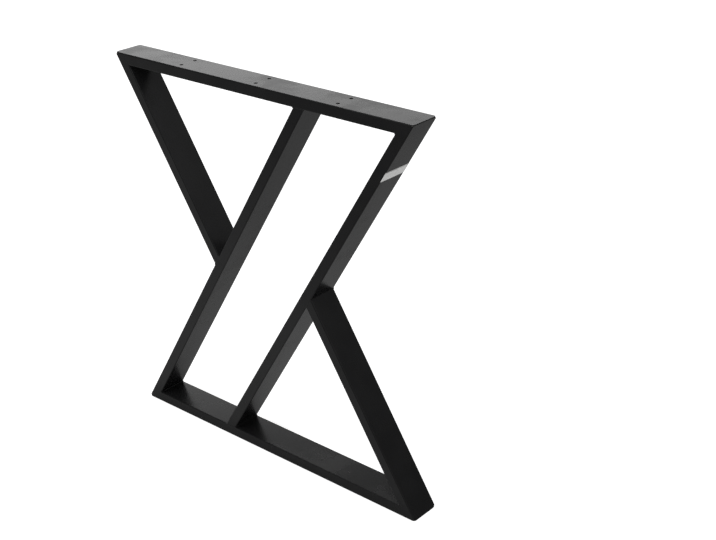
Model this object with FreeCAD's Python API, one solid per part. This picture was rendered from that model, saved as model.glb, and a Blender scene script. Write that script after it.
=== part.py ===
import FreeCAD, Part
import math
import os

# One X shaped table leg: a flat frame welded from six lengths of flat steel tube. A top bar and a
# bottom bar of equal length are tied by two long braces leaning one way and two short braces
# leaning the other way, so the frame looks the same after half a turn in its own plane.
# Millimetres. X runs along the bars, Y across the tube depth, Z up from the floor; the origin is
# the middle of the footprint.

FRAME_WIDTH = 690.0        # length of the top and bottom bars, between their sharp tips
FRAME_HEIGHT = 720.0       # floor to the underside of the table top
TUBE_DEPTH = 60.0          # wide side of the tube, across the frame
TUBE_THICK = 20.0          # narrow side of the tube, in the plane of the frame
TUBE_WALL = 1.5
EDGE_RADIUS = 2.0          # rolled long edges of the tube
TIP_GRIND = 1.5            # ground off each of the four sharp mitred tips
TIP_CORNER = 7.0           # radius of the front and back corners of the ground tips
TIP_ROOT = 6.0             # weld metal run into each tip, from its sharp point, before grinding
BRACE_LEAN = 32.2          # degrees between every brace and the vertical

HOLE_DIAMETER = 7.0        # screw holes through both walls of the top bar
HOLE_REACH = 182.0         # outer hole pairs, each side of the middle pair
HOLE_ROWS = 32.0           # distance between the two holes of a pair, across the depth

WELD_LEG = 1.2             # leg of the weld beads in the inside corners
WELD_STEP = 0.15           # step left where a bead runs out on a rolled long edge

LABEL_FROM_TIP = 105.0     # upper edge of the label, measured down the brace from the top tip
LABEL_LENGTH = 21.0        # along the brace
LABEL_WIDTH = 58.0         # across the face of the brace and a little over its rolled edges
LABEL_THICK = 0.3
LABEL_CORNER = 1.0

CAVITY_RADIUS = EDGE_RADIUS - TUBE_WALL
WELD_SINK = EDGE_RADIUS - math.sqrt(EDGE_RADIUS ** 2 - (EDGE_RADIUS - WELD_STEP) ** 2)
STOCK_REACH = FRAME_WIDTH + FRAME_HEIGHT   # tube stock before it is cut, longer than any member
CENTRE = FreeCAD.Vector(0, 0, FRAME_HEIGHT / 2)
ACROSS = FreeCAD.Vector(0, 1, 0)


def point(x, z):
    return FreeCAD.Vector(x, 0, z)


def inward(direction):
    """Left hand side of a direction in the plane of the frame, seen from the front."""
    return point(-direction.z, direction.x)


def edge_line(start, direction):
    """The outer edge of a member; its material lies to the left of the direction."""
    return start, direction


def inner_edge(line, offset):
    start, direction = line
    return start + inward(direction) * offset, direction


def meet(line_a, line_b):
    """Crossing point of two lines in the plane of the frame."""
    (p, d), (q, e) = line_a, line_b
    cross = d.x * e.z - d.z * e.x
    gap = q - p
    return p + d * ((gap.x * e.z - gap.z * e.x) / cross)


def prism(corners, depth):
    """A plane outline drawn out to both sides of the middle plane of the frame."""
    shift = ACROSS * (-depth / 2)
    ring = [corner + shift for corner in corners]
    face = Part.Face(Part.makePolygon(ring + ring[:1]))
    return face.extrude(ACROSS * depth)


def rolled_bar(line, inset, radius):
    """Uncut stock with four rounded long edges, its outer face set in from the line."""
    start, direction = line
    depth = TUBE_DEPTH - 2 * inset
    thick = TUBE_THICK - 2 * inset
    bar = Part.makeBox(2 * STOCK_REACH, depth, thick, FreeCAD.Vector(-STOCK_REACH, -depth / 2, inset))
    long_edges = [edge for edge in bar.Edges if abs(edge.tangentAt(0).x) > 0.9]
    bar = bar.makeFillet(radius, long_edges)
    turn = math.degrees(math.atan2(-direction.z, direction.x))
    bar.Placement = FreeCAD.Placement(start, FreeCAD.Rotation(ACROSS, turn))
    return bar


def half_turn(shape):
    """The same piece on the opposite side of the frame."""
    return shape.copy().rotate(CENTRE, ACROSS, 180)


lean = math.radians(BRACE_LEAN)
TOP_LEFT = point(-FRAME_WIDTH / 2, FRAME_HEIGHT)
TOP_RIGHT = point(FRAME_WIDTH / 2, FRAME_HEIGHT)
BOTTOM_LEFT = point(-FRAME_WIDTH / 2, 0)
BOTTOM_RIGHT = point(FRAME_WIDTH / 2, 0)

# Outer edges of the members of the upper left half, walked anticlockwise.
top_outer = edge_line(TOP_RIGHT, point(-1, 0))
short_outer = edge_line(TOP_LEFT, point(math.sin(lean), -math.cos(lean)))
long_outer = edge_line(BOTTOM_LEFT, point(-math.sin(lean), -math.cos(lean)))
bottom_outer = edge_line(BOTTOM_LEFT, point(1, 0))
right_outer = edge_line(TOP_RIGHT, point(math.sin(lean), math.cos(lean)))

top_inner = inner_edge(top_outer, TUBE_THICK)
short_inner = inner_edge(short_outer, TUBE_THICK)
long_inner = inner_edge(long_outer, TUBE_THICK)
bottom_inner = inner_edge(bottom_outer, TUBE_THICK)
right_inner = inner_edge(right_outer, TUBE_THICK)

# Corners where the inside edges of two members cross.
waist = meet(short_outer, long_outer)
short_foot = meet(short_inner, long_outer)
mitre_short = meet(top_inner, short_inner)
mitre_right = meet(top_inner, right_inner)
mitre_long = meet(bottom_inner, long_inner)
head_outer = meet(long_outer, top_inner)
head_inner = meet(long_inner, top_inner)

# Directions along the members, away from the corners they share.
down_short = short_outer[1]
up_long = -long_outer[1]
up = point(0, 1)
right = point(1, 0)


def tip_gauge(tip, along, rise):
    """Slab that holds a tip and the opposite one, its two ends ground flat with rounded corners."""
    outward = -(along + rise).normalize()
    half_length = outward.dot(tip - CENTRE) - TIP_GRIND
    corner = FreeCAD.Vector(-half_length, -TUBE_DEPTH / 2, -STOCK_REACH)
    slab = Part.makeBox(2 * half_length, TUBE_DEPTH, 2 * STOCK_REACH, corner)
    end_edges = [edge for edge in slab.Edges if abs(edge.tangentAt(0).z) > 0.9]
    slab = slab.makeFillet(TIP_CORNER, end_edges)
    turn = math.degrees(math.atan2(-outward.z, outward.x))
    slab.Placement = FreeCAD.Placement(CENTRE, FreeCAD.Rotation(ACROSS, turn))
    return slab


def tip_root(tip, along, rise):
    """Wedge of weld metal behind a sharp tip."""
    reach = TIP_ROOT / (along + rise).normalize().dot(along)
    return prism([tip, tip + along * reach, tip + rise * reach], TUBE_DEPTH)


# The ground shape of all four tips, and the weld metal that closes the hollow behind three of them.
ground_right = tip_gauge(TOP_RIGHT, -right, -right_outer[1])
ground_left = tip_gauge(TOP_LEFT, right, down_short)
root_top_right = tip_root(TOP_RIGHT, -right, -right_outer[1])
root_top_left = tip_root(TOP_LEFT, right, down_short)
root_bottom_left = tip_root(BOTTOM_LEFT, right, up_long)
tip_roots = root_top_left.fuse(root_top_right).fuse(root_bottom_left)


def member(line, corners):
    """One length of tube cut to its side view, as the closed envelope and as the hollow tube."""
    cut = prism(corners, TUBE_DEPTH)
    envelope = rolled_bar(line, 0, EDGE_RADIUS).common(cut).common(ground_right).common(ground_left)
    cavity = rolled_bar(line, TUBE_WALL, CAVITY_RADIUS).cut(tip_roots)
    return envelope, envelope.cut(cavity)


top_envelope, top_tube = member(top_outer, [TOP_RIGHT, TOP_LEFT, mitre_short, mitre_right])
short_envelope, short_tube = member(short_outer, [TOP_LEFT, waist, short_foot, mitre_short])
long_envelope, long_tube = member(long_outer, [BOTTOM_LEFT, mitre_long, head_inner, head_outer])

# Three pairs of screw holes straight down through the top bar.
drilled = top_tube
for x in (-HOLE_REACH, 0, HOLE_REACH):
    for y in (-HOLE_ROWS / 2, HOLE_ROWS / 2):
        seat = FreeCAD.Vector(x, y, FRAME_HEIGHT - 2 * TUBE_THICK)
        drilled = drilled.cut(Part.makeCylinder(HOLE_DIAMETER / 2, 3 * TUBE_THICK, seat))


def mitre_bead(corner, along, rise, first, second):
    """Bead in the inside corner of a mitre, filling both rolled edges flush with the front and back."""
    split = (along + rise).normalize()
    half_angle = math.acos(split.dot(along))
    into_first = (along * math.cos(half_angle) - split) * (WELD_SINK / math.sin(half_angle))
    into_second = (rise * math.cos(half_angle) - split) * (WELD_SINK / math.sin(half_angle))
    a = corner + along * WELD_LEG
    b = corner + rise * WELD_LEG
    root = corner - split * (WELD_SINK / math.sin(half_angle))
    zone = prism([a, b, b + into_second, root, a + into_first], TUBE_DEPTH)
    return zone.cut(first).cut(second)


def butt_bead(near, far, along, rise, into, bar, brace):
    """Bead all round the foot of a brace that butts against the flat face of another member."""
    a = near - along * WELD_LEG
    b = near + rise * WELD_LEG
    c = far + rise * WELD_LEG
    d = far + along * WELD_LEG
    zone = prism([a, b, c, d, d + into * WELD_SINK, a + into * WELD_SINK], TUBE_DEPTH)
    return zone.cut(bar).cut(brace)


bottom_envelope = half_turn(top_envelope)
bead_mitre_short = mitre_bead(mitre_short, right, down_short, top_envelope, short_envelope)
bead_mitre_long = mitre_bead(mitre_long, right, up_long, bottom_envelope, long_envelope)
bead_head = butt_bead(head_outer, head_inner, right, -up_long, up, top_envelope, long_envelope)
bead_waist = butt_bead(waist, short_foot, up_long, -down_short, -inward(up_long), long_envelope, short_envelope)

# Thin foil label across the outward face of the right hand long brace, below the top tip, with its
# two ends pressed down over the rolled edges.
cutter_low = FreeCAD.Vector(0, -LABEL_WIDTH / 2, -LABEL_THICK)
cutter = Part.makeBox(LABEL_LENGTH, LABEL_WIDTH, LABEL_THICK + EDGE_RADIUS, cutter_low)
cutter_corners = [edge for edge in cutter.Edges if abs(edge.tangentAt(0).z) > 0.9]
cutter = cutter.makeFillet(LABEL_CORNER, cutter_corners)
label_base = TOP_RIGHT - right_outer[1] * (LABEL_FROM_TIP + LABEL_LENGTH)
cutter.Placement = FreeCAD.Placement(label_base, FreeCAD.Rotation(ACROSS, BRACE_LEAN - 90))
foil_stock = rolled_bar(right_outer, -LABEL_THICK, EDGE_RADIUS + LABEL_THICK)
label = foil_stock.cut(rolled_bar(right_outer, 0, EDGE_RADIUS)).common(cutter)

nodes = {
    "top_bar": drilled,
    "bottom_bar": half_turn(top_tube),
    "short_brace_left": short_tube,
    "short_brace_right": half_turn(short_tube),
    "long_brace_left": long_tube,
    "long_brace_right": half_turn(long_tube),
    "weld_top_left": bead_mitre_short,
    "weld_bottom_right": half_turn(bead_mitre_short),
    "weld_bottom_left": bead_mitre_long,
    "weld_top_right": half_turn(bead_mitre_long),
    "weld_long_head": bead_head,
    "weld_long_foot": half_turn(bead_head),
    "weld_waist_left": bead_waist,
    "weld_waist_right": half_turn(bead_waist),
    "label": label,
}

os.makedirs("parts", exist_ok=True)
for name, shape in nodes.items():
    shape.exportStep(f"parts/{name}.step")
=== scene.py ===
import math

import bmesh
import bpy
from mathutils import Matrix, Vector


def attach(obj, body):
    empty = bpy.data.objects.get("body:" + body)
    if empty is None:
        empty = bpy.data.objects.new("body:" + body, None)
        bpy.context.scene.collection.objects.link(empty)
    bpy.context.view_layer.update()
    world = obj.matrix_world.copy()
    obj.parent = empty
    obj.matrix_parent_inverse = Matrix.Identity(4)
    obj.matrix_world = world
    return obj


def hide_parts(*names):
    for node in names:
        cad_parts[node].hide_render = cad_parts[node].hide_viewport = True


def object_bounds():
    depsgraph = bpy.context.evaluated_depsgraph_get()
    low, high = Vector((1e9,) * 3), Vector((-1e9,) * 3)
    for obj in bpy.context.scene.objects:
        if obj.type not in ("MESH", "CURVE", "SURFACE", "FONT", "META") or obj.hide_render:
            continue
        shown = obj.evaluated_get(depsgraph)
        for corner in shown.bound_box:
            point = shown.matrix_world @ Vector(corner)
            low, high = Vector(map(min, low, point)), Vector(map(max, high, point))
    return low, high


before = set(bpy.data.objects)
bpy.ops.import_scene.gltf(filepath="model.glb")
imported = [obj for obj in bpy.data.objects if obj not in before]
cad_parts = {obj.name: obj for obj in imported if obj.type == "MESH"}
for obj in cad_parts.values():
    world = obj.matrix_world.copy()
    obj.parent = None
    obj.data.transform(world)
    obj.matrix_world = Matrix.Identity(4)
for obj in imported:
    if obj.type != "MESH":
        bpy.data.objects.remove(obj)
cad_low, cad_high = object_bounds()
scene = bpy.context.scene
scene.view_settings.view_transform = "Standard"

# The bottom bar: flat steel tube, 60 by 20 mm, mitred to a brace at each end and flat on the floor.
# Its coat is satin black polyester powder, sprayed dry over the finished weldment and baked on. It
# flows out into a fine orange peel over the faint lengthwise waves of the drawn tube.
COAT_BLACK = (0.0082, 0.0082, 0.0085, 1.0)
COAT_BLACK_THICK = (0.0100, 0.0100, 0.0103, 1.0)
COAT_IOR = 1.45
COAT_SMOOTH = 0.24
COAT_DULL = 0.31
THICKNESS_PATCH = 0.050
THICKNESS_FROM = 0.35
THICKNESS_TO = 0.65
PEEL_SIZE = 0.0022
PEEL_HEIGHT = 0.000003
PEEL_UNEVENNESS = 0.45
GRAIN_SPACING = 0.024
GRAIN_RADIUS = 0.00024
GRAIN_FOOT_RADIUS = 0.000432
HAZE_PATCH = 0.085
HAZE_UNEVENNESS = 0.62
HAZE_FROM = 0.46
HAZE_TO = 0.72
DRAWN_LENGTH = 0.240
DRAWN_WIDTH = 0.009
DRAWN_HEIGHT = 0.000005
LYING_LEVEL = math.pi / 2
MIX_SOCKETS = {"RGBA": (6, 7, 2), "FLOAT": (2, 3, 0)}


def new_node(tree, kind, **values):
    """One node with its properties set by name."""
    node = tree.nodes.new(kind)
    for name, value in values.items():
        setattr(node, name, value)
    return node


def feed(tree, socket, value):
    """Links a socket or sets a plain value."""
    if isinstance(value, bpy.types.NodeSocket):
        tree.links.new(value, socket)
    elif value is not None:
        socket.default_value = value


def calculate(tree, operation, first, second=None, third=None):
    """A Math node in any kind of tree; gives its output socket."""
    node = new_node(tree, "ShaderNodeMath", operation=operation)
    for place, value in enumerate((first, second, third)):
        feed(tree, node.inputs[place], value)
    return node.outputs[0]


def mixed(tree, share, first, second, kind="RGBA", blend="MIX"):
    """A Mix node between two colours or two numbers; gives its output socket."""
    node = new_node(tree, "ShaderNodeMix", data_type=kind, blend_type=blend)
    first_place, second_place, output_place = MIX_SOCKETS[kind]
    feed(tree, node.inputs[0], share)
    feed(tree, node.inputs[first_place], first)
    feed(tree, node.inputs[second_place], second)
    return node.outputs[output_place]


def clouds(tree, vector, size, detail, unevenness=0.5):
    """Noise mask from 0 to 1 with patches about as large as the size, in metres."""
    node = new_node(tree, "ShaderNodeTexNoise", noise_dimensions="3D")
    feed(tree, node.inputs["Vector"], vector)
    given_by_socket = isinstance(size, bpy.types.NodeSocket)
    scale = calculate(tree, "DIVIDE", 1.0, size) if given_by_socket else 1.0 / size
    feed(tree, node.inputs["Scale"], scale)
    node.inputs["Detail"].default_value = detail
    node.inputs["Roughness"].default_value = unevenness
    return node.outputs["Fac"]


def spread(tree, value, low, high, to_low=0.0, to_high=1.0):
    """A smooth step of a mask between two of its values."""
    node = new_node(tree, "ShaderNodeMapRange", clamp=True, interpolation_type="SMOOTHSTEP")
    feed(tree, node.inputs["Value"], value)
    feed(tree, node.inputs["From Min"], low)
    feed(tree, node.inputs["From Max"], high)
    feed(tree, node.inputs["To Min"], to_low)
    feed(tree, node.inputs["To Max"], to_high)
    return node.outputs["Result"]


def named_sockets(tree, inputs, outputs):
    """Gives a node group its named inputs and outputs."""
    for name, kind, value in inputs:
        socket = tree.interface.new_socket(name=name, in_out="INPUT", socket_type=kind)
        if value is not None:
            socket.default_value = value
    for name, kind in outputs:
        tree.interface.new_socket(name=name, in_out="OUTPUT", socket_type=kind)


def powder_skin_group():
    """Orange peel, dust grains, handling haze and thickness clouds of a powder coat."""
    tree = bpy.data.node_groups.new("powder_skin", "ShaderNodeTree")
    named_sockets(
        tree,
        [
            ("Position", "NodeSocketVector", None),
            ("Peel Size", "NodeSocketFloat", PEEL_SIZE),
            ("Smooth Roughness", "NodeSocketFloat", COAT_SMOOTH),
            ("Dull Roughness", "NodeSocketFloat", COAT_DULL),
        ],
        [
            ("Thickness", "NodeSocketFloat"),
            ("Roughness", "NodeSocketFloat"),
            ("Height", "NodeSocketFloat"),
        ],
    )
    given = new_node(tree, "NodeGroupInput")
    result = new_node(tree, "NodeGroupOutput")
    position = given.outputs["Position"]

    thickness = clouds(tree, position, THICKNESS_PATCH, detail=3.0)
    thickness = spread(tree, thickness, THICKNESS_FROM, THICKNESS_TO)
    peel_size = given.outputs["Peel Size"]
    peel = clouds(tree, position, peel_size, detail=2.0, unevenness=PEEL_UNEVENNESS)

    grains = new_node(tree, "ShaderNodeTexVoronoi", feature="F1", distance="EUCLIDEAN")
    grains.inputs["Scale"].default_value = 1.0 / GRAIN_SPACING
    tree.links.new(position, grains.inputs["Vector"])
    grain_top = GRAIN_RADIUS / GRAIN_SPACING
    grain_foot = GRAIN_FOOT_RADIUS / GRAIN_SPACING
    grain = spread(tree, grains.outputs["Distance"], grain_top, grain_foot, 1.0, 0.0)
    height = calculate(tree, "ADD", grain, peel)

    haze = clouds(tree, position, HAZE_PATCH, detail=4.0, unevenness=HAZE_UNEVENNESS)
    haze = spread(tree, haze, HAZE_FROM, HAZE_TO)
    dull = calculate(tree, "MAXIMUM", haze, grain)
    smooth_roughness = given.outputs["Smooth Roughness"]
    dull_roughness = given.outputs["Dull Roughness"]
    roughness = spread(tree, dull, 0.0, 1.0, smooth_roughness, dull_roughness)

    tree.links.new(thickness, result.inputs["Thickness"])
    tree.links.new(roughness, result.inputs["Roughness"])
    tree.links.new(height, result.inputs["Height"])
    return tree


powder_skin = powder_skin_group()


def coated_steel(name, lean):
    """Powder coat over tube that was drawn at this angle to the vertical."""
    material = bpy.data.materials.new(name)
    material.use_nodes = True
    tree = material.node_tree
    paint = tree.nodes["Principled BSDF"]
    paint.inputs["IOR"].default_value = COAT_IOR
    place = new_node(tree, "ShaderNodeTexCoord").outputs["Object"]

    skin = new_node(tree, "ShaderNodeGroup", node_tree=powder_skin)
    skin.inputs["Peel Size"].default_value = PEEL_SIZE
    skin.inputs["Smooth Roughness"].default_value = COAT_SMOOTH
    skin.inputs["Dull Roughness"].default_value = COAT_DULL
    tree.links.new(place, skin.inputs["Position"])
    black = mixed(tree, skin.outputs["Thickness"], COAT_BLACK, COAT_BLACK_THICK)
    tree.links.new(black, paint.inputs["Base Color"])
    tree.links.new(skin.outputs["Roughness"], paint.inputs["Roughness"])

    along = new_node(tree, "ShaderNodeMapping", vector_type="TEXTURE")
    along.inputs["Rotation"].default_value = (0.0, lean, 0.0)
    along.inputs["Scale"].default_value = (1.0, 1.0, DRAWN_LENGTH / DRAWN_WIDTH)
    tree.links.new(place, along.inputs["Vector"])
    drawn = clouds(tree, along.outputs["Vector"], DRAWN_WIDTH, detail=1.0)
    drawn_share = DRAWN_HEIGHT / PEEL_HEIGHT
    height = calculate(tree, "MULTIPLY_ADD", drawn, drawn_share, skin.outputs["Height"])
    bump = new_node(tree, "ShaderNodeBump")
    bump.inputs["Strength"].default_value = 1.0
    bump.inputs["Distance"].default_value = PEEL_HEIGHT
    tree.links.new(height, bump.inputs["Height"])
    tree.links.new(bump.outputs["Normal"], paint.inputs["Normal"])
    return material


def dress(node_name, material):
    """Puts a finish on a piece of the frame that keeps its own mesh."""
    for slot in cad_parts[node_name].material_slots:
        slot.material = material


dress("bottom_bar", coated_steel("satin_black_coat_on_bars", LYING_LEVEL))

# The top bar: the same tube under the table top, drilled through both walls for six wood screws.
# The powder reaches only a little way into the holes, so bare rolled steel shows inside them.
TUBE_DEPTH = 0.060
TUBE_THICK = 0.020
TUBE_WALL = 0.0015
FRAME_HEIGHT = cad_high.z
OVERSPRAY = 0.0006
BARE_STEEL = (0.30, 0.29, 0.27, 1.0)
BARE_ROUGHNESS = 0.42


def add_bare_inside(material, middle_height):
    """Turns the coat into bare rolled steel on the inner walls of a level tube."""
    tree = material.node_tree
    paint = tree.nodes["Principled BSDF"]
    place = new_node(tree, "ShaderNodeTexCoord").outputs["Object"]
    apart = new_node(tree, "ShaderNodeSeparateXYZ")
    tree.links.new(place, apart.inputs[0])
    above_middle = calculate(tree, "SUBTRACT", apart.outputs["Z"], middle_height)
    from_middle = calculate(tree, "ABSOLUTE", above_middle)
    from_centre = calculate(tree, "ABSOLUTE", apart.outputs["Y"])
    high_wall = TUBE_THICK / 2 - TUBE_WALL
    side_wall = TUBE_DEPTH / 2 - TUBE_WALL
    below = spread(tree, from_middle, high_wall, high_wall + OVERSPRAY, 1.0, 0.0)
    within = spread(tree, from_centre, side_wall, side_wall + OVERSPRAY, 1.0, 0.0)
    bare = calculate(tree, "MULTIPLY", below, within)

    black = paint.inputs["Base Color"].links[0].from_socket
    tree.links.new(mixed(tree, bare, black, BARE_STEEL), paint.inputs["Base Color"])
    coat_roughness = paint.inputs["Roughness"].links[0].from_socket
    roughness = mixed(tree, bare, coat_roughness, BARE_ROUGHNESS, kind="FLOAT")
    tree.links.new(roughness, paint.inputs["Roughness"])
    tree.links.new(bare, paint.inputs["Metallic"])


coat_on_drilled_bar = coated_steel("satin_black_coat_on_drilled_bar", LYING_LEVEL)
add_bare_inside(coat_on_drilled_bar, FRAME_HEIGHT - TUBE_THICK / 2)
dress("top_bar", coat_on_drilled_bar)

# The two long braces: the same tube, mitred to a bar at one end and butted on the flat of the
# other bar at the other end.
BRACE_LEAN = math.radians(32.2)
coat_on_long_braces = coated_steel("satin_black_coat_on_long_braces", BRACE_LEAN)
for brace_name in ("long_brace_left", "long_brace_right"):
    dress(brace_name, coat_on_long_braces)

# The two short braces: the same tube leaning the other way, mitred to a bar at one end and butted
# on the side of a long brace at the waist of the frame.
coat_on_short_braces = coated_steel("satin_black_coat_on_short_braces", -BRACE_LEAN)
for brace_name in ("short_brace_left", "short_brace_right"):
    dress(brace_name, coat_on_short_braces)

# The welds: short runs of wire weld across the inside corner of each mitre and round each butted
# end, ground flush at the front and back. The coat softens their ripples but doesn't hide them.
WELD_LEG = 0.0012
WELD_SLICE = 0.00024
SLICES_ACROSS_FACE = (-0.6, -0.2, 0.2, 0.6)
MERGE_WITHIN = 1e-6
CUT_WITHIN = 1e-7
FACE_WITHIN = 2e-5
RIPPLE_PITCH = 0.0012
RIPPLE_HEIGHT = 0.00006
RIPPLE_BOW = 0.8
RIPPLE_STRAY = 2.2
RIPPLE_AT_TOE = 0.35
CROWN_HEIGHT = 0.00008
TOE_WANDER = 0.00012
WANDER_LENGTH = 0.006
SEED_STEP = 0.37
SHARP_FROM = math.radians(55)
HALF_BAR_TO_SHARP_TIP = 0.345

brace_across = TUBE_THICK / math.cos(BRACE_LEAN)
lean_run = math.tan(BRACE_LEAN)
along_bar = Vector((1.0, 0.0, 0.0))
up_long = Vector((math.sin(BRACE_LEAN), 0.0, math.cos(BRACE_LEAN)))
down_short = Vector((math.sin(BRACE_LEAN), 0.0, -math.cos(BRACE_LEAN)))
under_top = FRAME_HEIGHT - TUBE_THICK
waist_height = FRAME_HEIGHT / 2
mitre_corner = -HALF_BAR_TO_SHARP_TIP + TUBE_THICK * lean_run + brace_across
head_corner = Vector((-HALF_BAR_TO_SHARP_TIP + under_top * lean_run, 0.0, under_top))
waist_corner = Vector((-HALF_BAR_TO_SHARP_TIP + waist_height * lean_run, 0.0, waist_height))
waist_step = up_long * (TUBE_THICK / math.sin(2 * BRACE_LEAN))
weld_sides = {
    "weld_top_left": [(Vector((mitre_corner, 0.0, under_top)), along_bar, down_short)],
    "weld_bottom_left": [(Vector((mitre_corner, 0.0, TUBE_THICK)), along_bar, up_long)],
    "weld_long_head": [
        (head_corner, -along_bar, -up_long),
        (head_corner + along_bar * brace_across, along_bar, -up_long),
    ],
    "weld_waist_left": [
        (waist_corner, -up_long, -down_short),
        (waist_corner + waist_step, up_long, -down_short),
    ],
}
across_the_frame = {
    "weld_top_left": "weld_bottom_right",
    "weld_bottom_left": "weld_top_right",
    "weld_long_head": "weld_long_foot",
    "weld_waist_left": "weld_waist_right",
}
for near_weld, far_weld in across_the_frame.items():
    weld_sides[far_weld] = [
        (Vector((-corner.x, 0.0, FRAME_HEIGHT - corner.z)), -first, -second)
        for corner, first, second in weld_sides[near_weld]
    ]


def split_of(first, second):
    """The direction out of a corner over the bead, and half the corner's angle."""
    return (first + second).normalized(), first.angle(second) / 2


def sliced_weld(node_name, sides):
    """A closed copy of a weld, cut into thin slices across its run so that ripples can form."""
    blank = bmesh.new()
    blank.from_mesh(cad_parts[node_name].data)
    bmesh.ops.remove_doubles(blank, verts=blank.verts, dist=MERGE_WITHIN)
    cuts = []
    for corner, first, second in sides:
        away, half_angle = split_of(first, second)
        crosswise = Vector((away.z, 0.0, -away.x))
        half_width = WELD_LEG * math.sin(half_angle)
        for share in SLICES_ACROSS_FACE:
            cuts.append((corner + crosswise * half_width * share, crosswise))
    slices = round(TUBE_DEPTH / WELD_SLICE)
    for step in range(1, slices):
        place = -TUBE_DEPTH / 2 + TUBE_DEPTH * step / slices
        cuts.append((Vector((0.0, place, 0.0)), Vector((0.0, 1.0, 0.0))))
    for place, facing in cuts:
        bmesh.ops.bisect_plane(
            blank,
            geom=blank.verts[:] + blank.edges[:] + blank.faces[:],
            dist=CUT_WITHIN,
            plane_co=place,
            plane_no=facing,
        )
    mesh = bpy.data.meshes.new(node_name + "_run")
    blank.to_mesh(mesh)
    blank.free()
    return mesh


def vector_step(tree, operation, first, second=None):
    """A Vector Math node; gives the number for a dot product or length, else the vector."""
    node = new_node(tree, "ShaderNodeVectorMath", operation=operation)
    feed(tree, node.inputs[0], first)
    feed(tree, node.inputs[1], second)
    return node.outputs["Value" if operation in ("DOT_PRODUCT", "LENGTH") else "Vector"]


def ripple_tree():
    """Geometry nodes that raise the crown, the curved ripples and the wandering toes of a bead."""
    tree = bpy.data.node_groups.new("weld_ripples", "GeometryNodeTree")
    named_sockets(
        tree,
        [
            ("Geometry", "NodeSocketGeometry", None),
            ("Corner", "NodeSocketVector", None),
            ("Away", "NodeSocketVector", None),
            ("Face Distance", "NodeSocketFloat", WELD_LEG),
            ("Half Width", "NodeSocketFloat", WELD_LEG),
            ("Ripple Pitch", "NodeSocketFloat", RIPPLE_PITCH),
            ("Ripple Height", "NodeSocketFloat", RIPPLE_HEIGHT),
            ("Crown Height", "NodeSocketFloat", CROWN_HEIGHT),
            ("Toe Wander", "NodeSocketFloat", TOE_WANDER),
            ("Seed", "NodeSocketFloat", 0.0),
            ("Finish", "NodeSocketMaterial", None),
        ],
        [("Geometry", "NodeSocketGeometry")],
    )
    given = new_node(tree, "NodeGroupInput")
    result = new_node(tree, "NodeGroupOutput")
    face_distance = given.outputs["Face Distance"]
    position = new_node(tree, "GeometryNodeInputPosition").outputs[0]
    from_corner = vector_step(tree, "SUBTRACT", position, given.outputs["Corner"])
    flat = vector_step(tree, "MULTIPLY", from_corner, (1.0, 0.0, 1.0))
    reach = vector_step(tree, "DOT_PRODUCT", flat, given.outputs["Away"])
    distance = vector_step(tree, "LENGTH", flat)
    past_face = calculate(tree, "SUBTRACT", reach, face_distance)
    on_face = calculate(tree, "LESS_THAN", calculate(tree, "ABSOLUTE", past_face), FACE_WITHIN)
    near_limit = calculate(tree, "ADD", face_distance, WELD_LEG)
    near = calculate(tree, "LESS_THAN", distance, near_limit)
    distance_squared = calculate(tree, "POWER", distance, 2.0)
    reach_squared = calculate(tree, "POWER", reach, 2.0)
    aside_squared = calculate(tree, "SUBTRACT", distance_squared, reach_squared)
    width_squared = calculate(tree, "POWER", given.outputs["Half Width"], 2.0)
    aside_share = calculate(tree, "DIVIDE", aside_squared, width_squared)
    arch = spread(tree, calculate(tree, "SUBTRACT", 1.0, aside_share), 0.0, 1.0)

    apart = new_node(tree, "ShaderNodeSeparateXYZ")
    tree.links.new(position, apart.inputs[0])
    run = new_node(tree, "ShaderNodeCombineXYZ")
    tree.links.new(calculate(tree, "MULTIPLY", given.outputs["Seed"], SEED_STEP), run.inputs[0])
    tree.links.new(apart.outputs["Y"], run.inputs[1])
    wander = clouds(tree, run.outputs[0], WANDER_LENGTH, detail=2.0)
    wander = calculate(tree, "SUBTRACT", wander, 0.5)
    turns = calculate(tree, "DIVIDE", apart.outputs["Y"], given.outputs["Ripple Pitch"])
    turns = calculate(tree, "MULTIPLY_ADD", arch, RIPPLE_BOW, turns)
    turns = calculate(tree, "MULTIPLY_ADD", wander, RIPPLE_STRAY, turns)
    wave = calculate(tree, "SINE", calculate(tree, "MULTIPLY", turns, math.pi))
    ripple = calculate(tree, "ABSOLUTE", wave)
    share = calculate(tree, "MULTIPLY_ADD", arch, 1.0 - RIPPLE_AT_TOE, RIPPLE_AT_TOE)
    ripple = calculate(tree, "MULTIPLY", ripple, share)
    lift = calculate(tree, "MULTIPLY", ripple, given.outputs["Ripple Height"])
    lift = calculate(tree, "MULTIPLY_ADD", arch, given.outputs["Crown Height"], lift)
    lift = calculate(tree, "MULTIPLY_ADD", wander, given.outputs["Toe Wander"], lift)
    outward = new_node(tree, "ShaderNodeVectorMath", operation="SCALE")
    tree.links.new(vector_step(tree, "NORMALIZE", flat), outward.inputs[0])
    tree.links.new(lift, outward.inputs["Scale"])

    move = new_node(tree, "GeometryNodeSetPosition")
    tree.links.new(given.outputs["Geometry"], move.inputs["Geometry"])
    tree.links.new(calculate(tree, "MULTIPLY", on_face, near), move.inputs["Selection"])
    tree.links.new(outward.outputs[0], move.inputs["Offset"])
    realize = new_node(tree, "GeometryNodeRealizeInstances")
    tree.links.new(move.outputs[0], realize.inputs[0])
    finish = new_node(tree, "GeometryNodeSetMaterial")
    tree.links.new(realize.outputs[0], finish.inputs["Geometry"])
    tree.links.new(given.outputs["Finish"], finish.inputs["Material"])
    tree.links.new(finish.outputs[0], result.inputs["Geometry"])
    return tree


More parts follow.
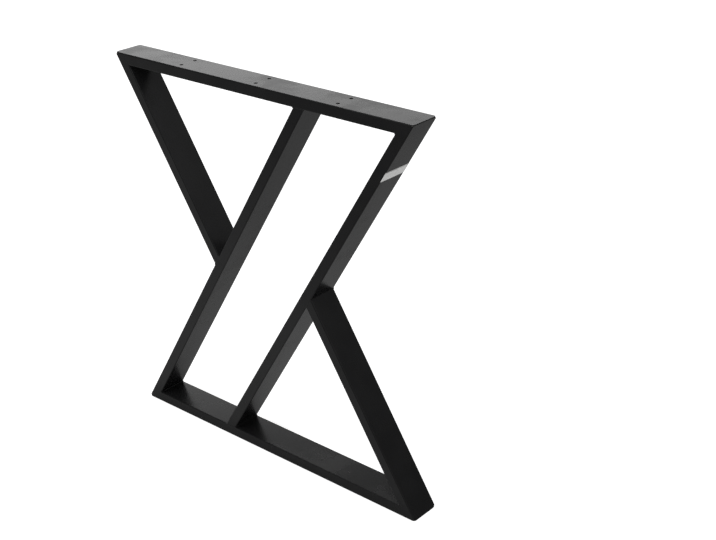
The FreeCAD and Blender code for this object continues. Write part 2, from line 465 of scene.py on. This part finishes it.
weld_ripples = ripple_tree()
socket_of = {
    item.name: item.identifier
    for item in weld_ripples.interface.items_tree
    if item.in_out == "INPUT"
}
coat_on_welds = coated_steel("satin_black_coat_on_welds", 0.0)
for weld_number, (weld_name, sides) in enumerate(sorted(weld_sides.items())):
    bead = bpy.data.objects.new(weld_name + "_bead", sliced_weld(weld_name, sides))
    scene.collection.objects.link(bead)
    for side_number, (corner, first, second) in enumerate(sides):
        away, half_angle = split_of(first, second)
        ripples = bead.modifiers.new("ripples", "NODES")
        ripples.node_group = weld_ripples
        ripples[socket_of["Corner"]] = corner
        ripples[socket_of["Away"]] = away
        ripples[socket_of["Face Distance"]] = WELD_LEG * math.cos(half_angle)
        ripples[socket_of["Half Width"]] = WELD_LEG * math.sin(half_angle)
        ripples[socket_of["Seed"]] = float(weld_number * 2 + side_number)
        ripples[socket_of["Finish"]] = coat_on_welds
    evaluated = bead.evaluated_get(bpy.context.evaluated_depsgraph_get())
    run_mesh = bpy.data.meshes.new_from_object(evaluated)
    bead.modifiers.clear()
    bead.data = run_mesh
    run_mesh.shade_smooth()
    run_mesh.set_sharp_from_angle(angle=SHARP_FROM)
    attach(bead, "root")
    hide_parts(weld_name)

# The label: a strip of matt silver foil stuck across the outward face of one long brace, its ends
# pressed down over the rolled edges. It is bare apart from a thin dark line drawn just inside its
# upper edge.
LABEL_SILVER = (0.84, 0.84, 0.83, 1.0)
LABEL_GREY = (0.77, 0.77, 0.765, 1.0)
LABEL_RULE = (0.060, 0.060, 0.062, 1.0)
LABEL_ROUGHNESS = 0.46
LABEL_ROUGHNESS_CHANGE = 0.06
LABEL_FROM_TIP = 0.105
RULE_FROM_EDGE = 0.0012
RULE_WIDTH = 0.0007
RULE_BLUR = 0.0001
RUBBED_PATCH = 0.007
RUBBED_FROM = 0.35
RUBBED_TO = 0.68
CREASE_SIZE = 0.009
CREASE_HEIGHT = 0.00006


def silver_foil():
    """Matt silver foil, a little uneven where it was rubbed down by hand."""
    material = bpy.data.materials.new("matt_silver_foil")
    material.use_nodes = True
    tree = material.node_tree
    foil = tree.nodes["Principled BSDF"]
    place = new_node(tree, "ShaderNodeTexCoord").outputs["Object"]
    sharp_tip = Vector((HALF_BAR_TO_SHARP_TIP, 0.0, FRAME_HEIGHT))
    on_label = new_node(tree, "ShaderNodeMapping", vector_type="TEXTURE")
    on_label.inputs["Location"].default_value = sharp_tip - up_long * LABEL_FROM_TIP
    on_label.inputs["Rotation"].default_value = (0.0, BRACE_LEAN, 0.0)
    tree.links.new(place, on_label.inputs["Vector"])
    apart = new_node(tree, "ShaderNodeSeparateXYZ")
    tree.links.new(on_label.outputs["Vector"], apart.inputs[0])
    from_edge = calculate(tree, "MULTIPLY", apart.outputs["Z"], -1.0)
    rule_end = RULE_FROM_EDGE + RULE_WIDTH
    after = spread(tree, from_edge, RULE_FROM_EDGE, RULE_FROM_EDGE + RULE_BLUR)
    before = spread(tree, from_edge, rule_end, rule_end + RULE_BLUR, 1.0, 0.0)
    rule = calculate(tree, "MULTIPLY", after, before)
    rubbed = clouds(tree, on_label.outputs["Vector"], RUBBED_PATCH, detail=3.0)
    rubbed = spread(tree, rubbed, RUBBED_FROM, RUBBED_TO)

    silver = mixed(tree, rubbed, LABEL_SILVER, LABEL_GREY)
    tree.links.new(mixed(tree, rule, silver, LABEL_RULE), foil.inputs["Base Color"])
    smooth_roughness = LABEL_ROUGHNESS - LABEL_ROUGHNESS_CHANGE
    worn_roughness = LABEL_ROUGHNESS + LABEL_ROUGHNESS_CHANGE
    worn = spread(tree, rubbed, 0.0, 1.0, smooth_roughness, worn_roughness)
    tree.links.new(worn, foil.inputs["Roughness"])
    creases = clouds(tree, on_label.outputs["Vector"], CREASE_SIZE, detail=2.0)
    bump = new_node(tree, "ShaderNodeBump")
    bump.inputs["Strength"].default_value = 1.0
    bump.inputs["Distance"].default_value = CREASE_HEIGHT
    tree.links.new(creases, bump.inputs["Height"])
    tree.links.new(bump.outputs["Normal"], foil.inputs["Normal"])
    return material


dress("label", silver_foil())

# The floor: plain and pale, lifted to white for the eye, and it keeps the frame's shadow. Gloss
# sees only a share of it, which paints shade into its reflections: highest just before and behind
# the frame, lower in a painted shade at its foot and a painted falloff further off, and lowest in a
# painted shadow behind it to the right.
FLOOR_HALF = 6.0
FLOOR_PALE = (0.80, 0.80, 0.80, 1.0)
FLOOR_LIFT = 0.65
SHARE_BEFORE = 0.49
SHARE_FAR_BEFORE = 0.14
BEFORE_FALLS_ALONG = Vector((0.6, -1.0, 0.0))
BEFORE_FALLS_FROM = 0.1
BEFORE_FALLS_TO = 0.7
SHARE_IN_PAINTED_FOOT_SHADE = 0.36
FOOT_FROM = -0.075
FOOT_TO = -0.05
SHARE_BEHIND = 0.59
SHARE_FAR_BEHIND = 0.46
BEHIND_FALLS_FROM = 0.15
BEHIND_FALLS_TO = 0.45
SHARE_IN_PAINTED_SHADOW_ASIDE = 0.06
ASIDE_FROM = 0.32
ASIDE_TO = 0.48
BEHIND_FROM = -0.01
BEHIND_TO = 0.05

floor_mesh = bpy.data.meshes.new("studio_floor")
floor_corners = [
    (-FLOOR_HALF, -FLOOR_HALF, 0.0),
    (FLOOR_HALF, -FLOOR_HALF, 0.0),
    (FLOOR_HALF, FLOOR_HALF, 0.0),
    (-FLOOR_HALF, FLOOR_HALF, 0.0),
]
floor_mesh.from_pydata(floor_corners, [], [(0, 1, 2, 3)])
floor = bpy.data.objects.new("studio_floor", floor_mesh)
scene.collection.objects.link(floor)
floor_paint = bpy.data.materials.new("pale_floor")
floor_paint.use_nodes = True
tree = floor_paint.node_tree
tree.nodes.remove(tree.nodes["Principled BSDF"])
spot = new_node(tree, "ShaderNodeTexCoord").outputs["Object"]
apart = new_node(tree, "ShaderNodeSeparateXYZ")
tree.links.new(spot, apart.inputs[0])
rightwards = apart.outputs["X"]
backwards = apart.outputs["Y"]
falls = vector_step(tree, "DOT_PRODUCT", spot, BEFORE_FALLS_ALONG)
# Painted falloff: the floor's share in reflections fades further off in front.
before = spread(tree, falls, BEFORE_FALLS_FROM, BEFORE_FALLS_TO, SHARE_BEFORE, SHARE_FAR_BEFORE)
# Painted shade at the frame's foot in the floor's reflections.
before = spread(tree, backwards, FOOT_FROM, FOOT_TO, before, SHARE_IN_PAINTED_FOOT_SHADE)
behind = spread(
    tree, backwards, BEHIND_FALLS_FROM, BEHIND_FALLS_TO, SHARE_BEHIND, SHARE_FAR_BEHIND
)
# Painted shadow in the floor's reflections behind the frame to the right.
behind = spread(tree, rightwards, ASIDE_FROM, ASIDE_TO, behind, SHARE_IN_PAINTED_SHADOW_ASIDE)
gloss_share = spread(tree, backwards, BEHIND_FROM, BEHIND_TO, before, behind)
path = new_node(tree, "ShaderNodeLightPath")
# For glossy rays the pale floor colour is multiplied by this share: painted shade in its
# reflections.
pale = mixed(tree, path.outputs["Is Glossy Ray"], FLOOR_PALE, gloss_share, blend="MULTIPLY")
matt = new_node(tree, "ShaderNodeBsdfDiffuse")
tree.links.new(pale, matt.inputs["Color"])
seen = calculate(tree, "MAXIMUM", path.outputs["Is Camera Ray"], path.outputs["Is Transmission Ray"])
glow = new_node(tree, "ShaderNodeEmission")
tree.links.new(calculate(tree, "MULTIPLY", seen, FLOOR_LIFT), glow.inputs["Strength"])
lifted = new_node(tree, "ShaderNodeAddShader")
tree.links.new(matt.outputs[0], lifted.inputs[0])
tree.links.new(glow.outputs[0], lifted.inputs[1])
tree.links.new(lifted.outputs[0], tree.nodes["Material Output"].inputs["Surface"])
floor_mesh.materials.append(floor_paint)

# The surround: plain white to the eye, with an even soft light. Gloss sees a share of it that grows
# with height, and a little towards the right.
SHARE_LOW = 0.05
SHARE_HIGH = 0.36
RIGHT_COUNTS = 0.25
HEIGHT_FROM = 0.36
HEIGHT_TO = 0.80
PLAIN_LIGHT = 0.55
WHITE = (1.0, 1.0, 1.0, 1.0)

surround = bpy.data.worlds.new("white_surround")
scene.world = surround
surround.use_nodes = True
tree = surround.node_tree
path = new_node(tree, "ShaderNodeLightPath")
towards = new_node(tree, "ShaderNodeSeparateXYZ")
tree.links.new(new_node(tree, "ShaderNodeTexCoord").outputs["Generated"], towards.inputs[0])
height = calculate(tree, "MULTIPLY_ADD", towards.outputs["X"], RIGHT_COUNTS, towards.outputs["Z"])
gloss_share = spread(tree, height, HEIGHT_FROM, HEIGHT_TO, SHARE_LOW, SHARE_HIGH)
seen = calculate(tree, "MAXIMUM", path.outputs["Is Camera Ray"], path.outputs["Is Transmission Ray"])
strength = calculate(tree, "MULTIPLY_ADD", path.outputs["Is Glossy Ray"], gloss_share, seen)
strength = calculate(tree, "MULTIPLY_ADD", path.outputs["Is Diffuse Ray"], PLAIN_LIGHT, strength)
tree.links.new(strength, tree.nodes["Background"].inputs["Strength"])
tree.nodes["Background"].inputs["Color"].default_value = WHITE


# The lamps: two soft boxes, a wide one behind to the left that lights the top of the frame, and one
# overhead. The camera doesn't see them.
def softbox(name, place, aim, width, height, brightness):
    """A rectangular soft lamp that faces a point and isn't seen by the camera itself."""
    lamp = bpy.data.lights.new(name, "AREA")
    lamp.shape = "RECTANGLE"
    lamp.size = width
    lamp.size_y = height
    lamp.energy = brightness * math.pi * width * height
    holder = bpy.data.objects.new(name, lamp)
    scene.collection.objects.link(holder)
    holder.location = place
    holder.rotation_euler = (Vector(aim) - Vector(place)).to_track_quat("-Z", "Y").to_euler()
    holder.visible_camera = False


softbox(
    "softbox_behind_left",
    place=(-3.80, 3.25, 1.75),
    aim=(0.0, 0.0, 0.55),
    width=3.9,
    height=2.0,
    brightness=1.36,
)
softbox(
    "softbox_overhead",
    place=(0.1, -1.2, 3.1),
    aim=(0.0, 0.0, 0.36),
    width=2.4,
    height=2.4,
    brightness=2.2,
)

# The camera: a longer lens from the front right, a little above the top bar.
CAMERA_AZIMUTH = math.radians(41.219)
CAMERA_ELEVATION = math.radians(25.103)
CAMERA_ROLL = math.radians(-1.350)
CAMERA_DISTANCE = 2.1285
CAMERA_AIM = Vector((0.2281, -0.0300, 0.4485))
CAMERA_LENS = 65.405
CAMERA_SENSOR = 36.0
back = Vector((
    math.sin(CAMERA_AZIMUTH) * math.cos(CAMERA_ELEVATION),
    -math.cos(CAMERA_AZIMUTH) * math.cos(CAMERA_ELEVATION),
    math.sin(CAMERA_ELEVATION),
))
level = Vector((math.cos(CAMERA_AZIMUTH), math.sin(CAMERA_AZIMUTH), 0.0))
upright = back.cross(level)
across = level * math.cos(CAMERA_ROLL) + upright * math.sin(CAMERA_ROLL)
camera_data = bpy.data.cameras.new("camera")
camera_data.sensor_width = CAMERA_SENSOR
camera_data.lens = CAMERA_LENS
camera = bpy.data.objects.new("camera", camera_data)
scene.collection.objects.link(camera)
turn = Matrix((across, back.cross(across), back)).transposed().to_4x4()
camera.matrix_world = Matrix.Translation(CAMERA_AIM + back * CAMERA_DISTANCE) @ turn
scene.camera = camera
